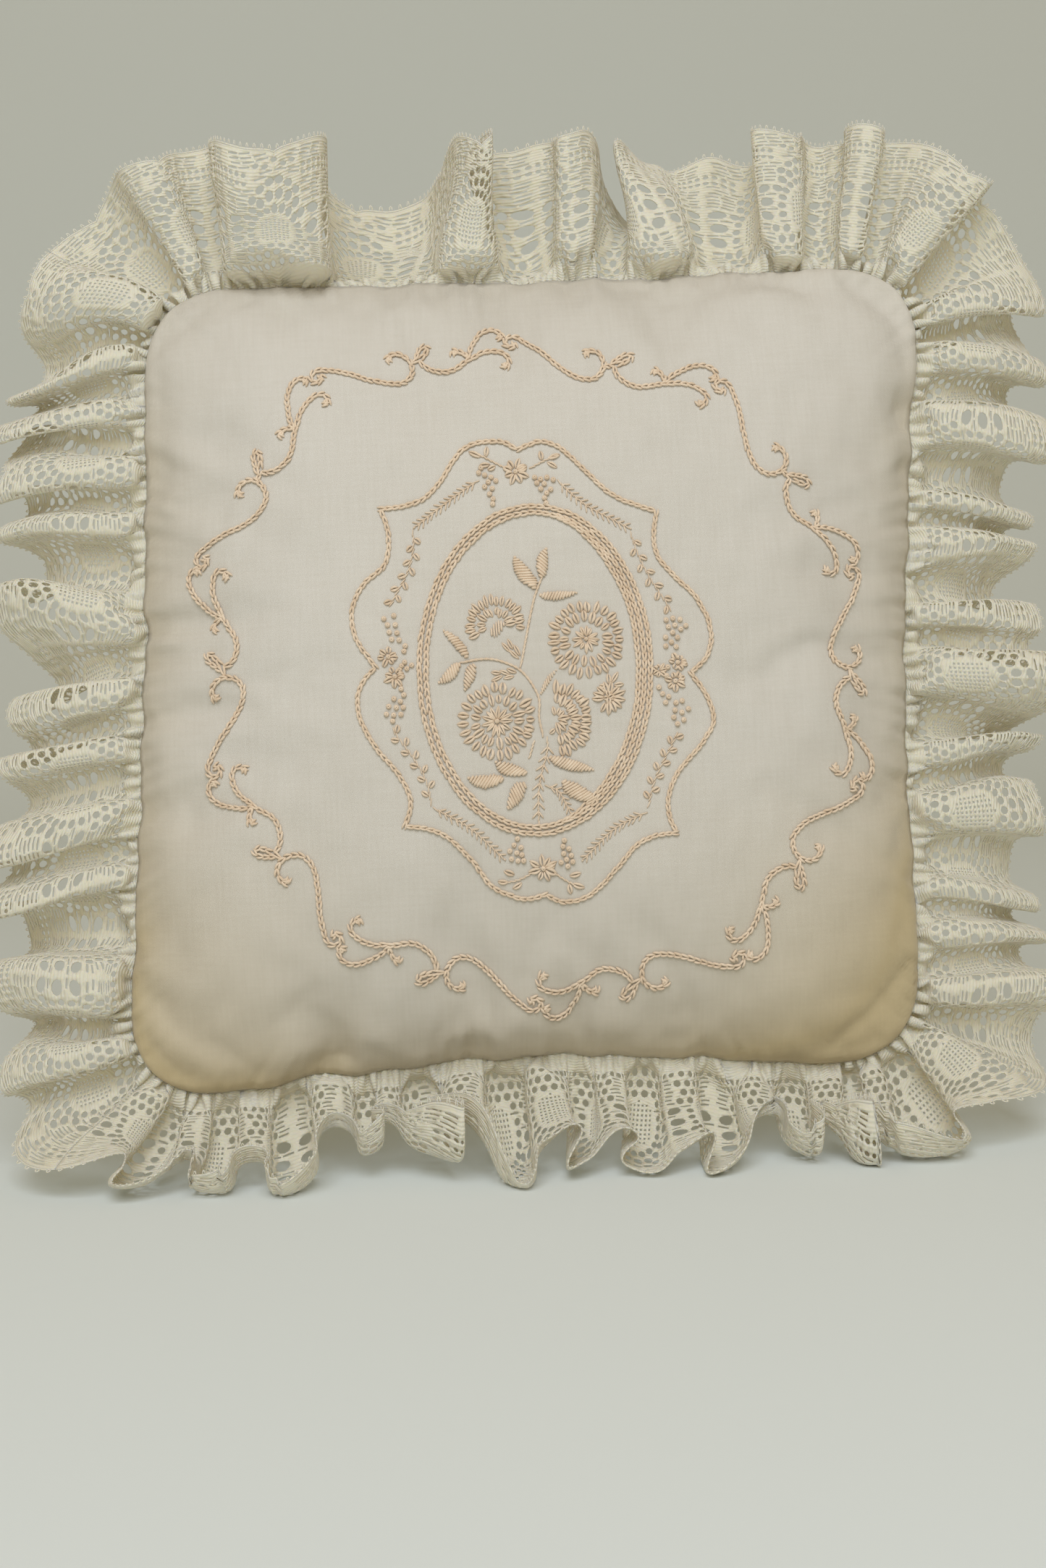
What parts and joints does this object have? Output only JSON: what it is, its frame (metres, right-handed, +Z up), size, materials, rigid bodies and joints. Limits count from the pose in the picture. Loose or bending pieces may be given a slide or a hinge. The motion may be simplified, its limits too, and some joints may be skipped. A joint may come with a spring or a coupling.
{
  "type": "ring bearer pillow",
  "caption": "Square stuffed cushion with hand embroidery on its front face and a wide gathered lace ruffle caught in the seam all round.",
  "frame": {"origin": "on the surface that the pillow stands on, under the middle of the whole object's box", "axes": "+Z up, +X to the viewer's right as the embroidered face is seen, -Y out of the embroidered face; the pillow leans back towards +Y by 8 degrees"},
  "size_m": [0.3534, 0.1064, 0.3273],
  "materials": {
    "ivory_sateen": "fine ivory cotton sateen, soft low sheen, slightly puckered at the seam",
    "muslin": "plain-woven unbleached cotton muslin, matt",
    "wadding": "loose white polyester fibre filling, matt",
    "cotton_lace": "open raschel cotton lace, ivory, matt and translucent, with a scalloped picot edge",
    "embroidery_thread": "stranded cotton embroidery thread, warm beige, soft silky sheen along each strand"
  },
  "bodies": {
    "root": {"back_cover": "ivory_sateen", "border_scroll_1": "embroidery_thread", "border_scroll_10": "embroidery_thread", "border_scroll_2": "embroidery_thread", "border_scroll_3": "embroidery_thread", "border_scroll_4": "embroidery_thread", "border_scroll_5": "embroidery_thread", "border_scroll_6": "embroidery_thread", "border_scroll_7": "embroidery_thread", "border_scroll_8": "embroidery_thread", "border_scroll_9": "embroidery_thread", "bouquet_fern": "embroidery_thread", "bouquet_flower_fan_left": "embroidery_thread", "bouquet_flower_fan_right": "embroidery_thread", "bouquet_flower_left": "embroidery_thread", "bouquet_flower_right": "embroidery_thread", "bouquet_flower_small": "embroidery_thread", "bouquet_leaf_left": "embroidery_thread", "bouquet_leaf_left_lower": "embroidery_thread", "bouquet_leaf_left_upper": "embroidery_thread", "bouquet_stem": "embroidery_thread", "bud_right": "embroidery_thread", "bud_upper": "embroidery_thread", "bud_upper_left": "embroidery_thread", "fern_spray_bottom_left": "embroidery_thread", "fern_spray_bottom_right": "embroidery_thread", "fern_spray_top_left": "embroidery_thread", "fern_spray_top_right": "embroidery_thread", "fibre_filling": "wadding", "front_cover": "ivory_sateen", "inner_casing_back": "muslin", "inner_casing_front": "muslin", "knot_cluster_bottom_left": "embroidery_thread", "knot_cluster_bottom_right": "embroidery_thread", "knot_cluster_left_lower": "embroidery_thread", "knot_cluster_left_upper": "embroidery_thread", "knot_cluster_right_lower": "embroidery_thread", "knot_cluster_right_upper": "embroidery_thread", "knot_cluster_top_left": "embroidery_thread", "knot_cluster_top_right": "embroidery_thread", "lace_ruffle_bottom": "cotton_lace", "lace_ruffle_left": "cotton_lace", "lace_ruffle_right": "cotton_lace", "lace_ruffle_top": "cotton_lace", "leaf_vine_left_lower": "embroidery_thread", "leaf_vine_left_upper": "embroidery_thread", "leaf_vine_right_lower": "embroidery_thread", "leaf_vine_right_upper": "embroidery_thread", "oval_frame_inner": "embroidery_thread", "oval_frame_outer": "embroidery_thread", "satin_leaf_centre": "embroidery_thread", "satin_leaf_left": "embroidery_thread", "satin_leaf_lower": "embroidery_thread", "satin_leaf_right": "embroidery_thread", "satin_leaf_right_lower": "embroidery_thread", "scalloped_frame": "embroidery_thread", "wreath_flower_bottom": "embroidery_thread", "wreath_flower_left": "embroidery_thread", "wreath_flower_right": "embroidery_thread", "wreath_flower_top": "embroidery_thread"}
  },
  "joints": []
}
